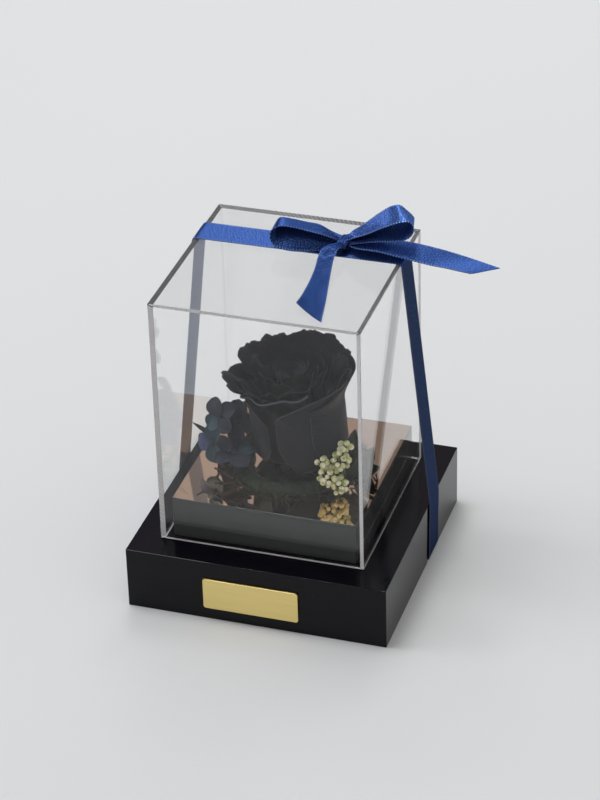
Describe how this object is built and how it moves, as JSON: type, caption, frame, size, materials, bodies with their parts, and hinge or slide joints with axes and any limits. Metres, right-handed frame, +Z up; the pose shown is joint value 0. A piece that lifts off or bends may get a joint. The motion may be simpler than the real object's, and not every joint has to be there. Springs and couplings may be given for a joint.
{
  "type": "preserved rose box",
  "caption": "Dark preserved rose on a copper mirror under a clear square cover, with small flowers round its foot, a black base and a ribbon tied in a bow.",
  "frame": {"origin": "middle of the base's underside, on the surface that the box stands on", "axes": "+Z up, +X to the right along the front, +Y to the back"},
  "size_m": [0.1471, 0.1211, 0.1707],
  "materials": {
    "black_acrylic": "polished black acrylic",
    "copper_mirror": "copper-tinted mirror",
    "clear_acrylic": "clear polished acrylic",
    "gold_plate": "fine brushed gold",
    "satin_ribbon": "satin weave",
    "rose_petal": "velvety dyed petal",
    "dark_leaf": "matt dried leaf",
    "moss": "fibrous moss",
    "hydrangea_floret": "matt dyed petal",
    "berry": "matt berry skin",
    "twig": "dry bark"
  },
  "bodies": {
    "root": {"base": "black_acrylic", "plinth": "black_acrylic", "mirror_plate": "copper_mirror", "cover": "clear_acrylic", "name_plate": "gold_plate", "ribbon_over_top": "satin_ribbon", "ribbon_side_left": "satin_ribbon", "ribbon_side_right": "satin_ribbon", "ribbon_under": "satin_ribbon", "bow_knot": "satin_ribbon", "bow_loop_left": "satin_ribbon", "bow_loop_right": "satin_ribbon", "bow_tail_front": "satin_ribbon", "bow_tail_right": "satin_ribbon", "rose_petal_1_1": "rose_petal", "rose_petal_1_2": "rose_petal", "rose_petal_1_3": "rose_petal", "rose_petal_1_4": "rose_petal", "rose_petal_2_1": "rose_petal", "rose_petal_2_2": "rose_petal", "rose_petal_2_3": "rose_petal", "rose_petal_2_4": "rose_petal", "rose_petal_2_5": "rose_petal", "rose_petal_3_1": "rose_petal", "rose_petal_3_2": "rose_petal", "rose_petal_3_3": "rose_petal", "rose_petal_3_4": "rose_petal", "rose_petal_3_5": "rose_petal", "rose_petal_4_1": "rose_petal", "rose_petal_4_2": "rose_petal", "rose_petal_4_3": "rose_petal", "rose_petal_4_4": "rose_petal", "rose_petal_5_1": "rose_petal", "rose_petal_5_2": "rose_petal", "rose_petal_5_3": "rose_petal", "rose_heart": "rose_petal", "rose_receptacle": "dark_leaf", "moss_collar": "moss", "hydrangea_floret_1": "hydrangea_floret", "hydrangea_floret_2": "hydrangea_floret", "hydrangea_floret_3": "hydrangea_floret", "hydrangea_floret_4": "hydrangea_floret", "hydrangea_floret_5": "hydrangea_floret", "hydrangea_floret_6": "hydrangea_floret", "hydrangea_stem": "twig", "berry_sprig": "berry", "leaf_1": "dark_leaf", "leaf_2": "dark_leaf", "leaf_3": "dark_leaf", "leaf_4": "dark_leaf", "leaf_5": "dark_leaf", "leaf_6": "dark_leaf", "twig_left": "twig", "twig_right": "twig"}
  },
  "joints": []
}
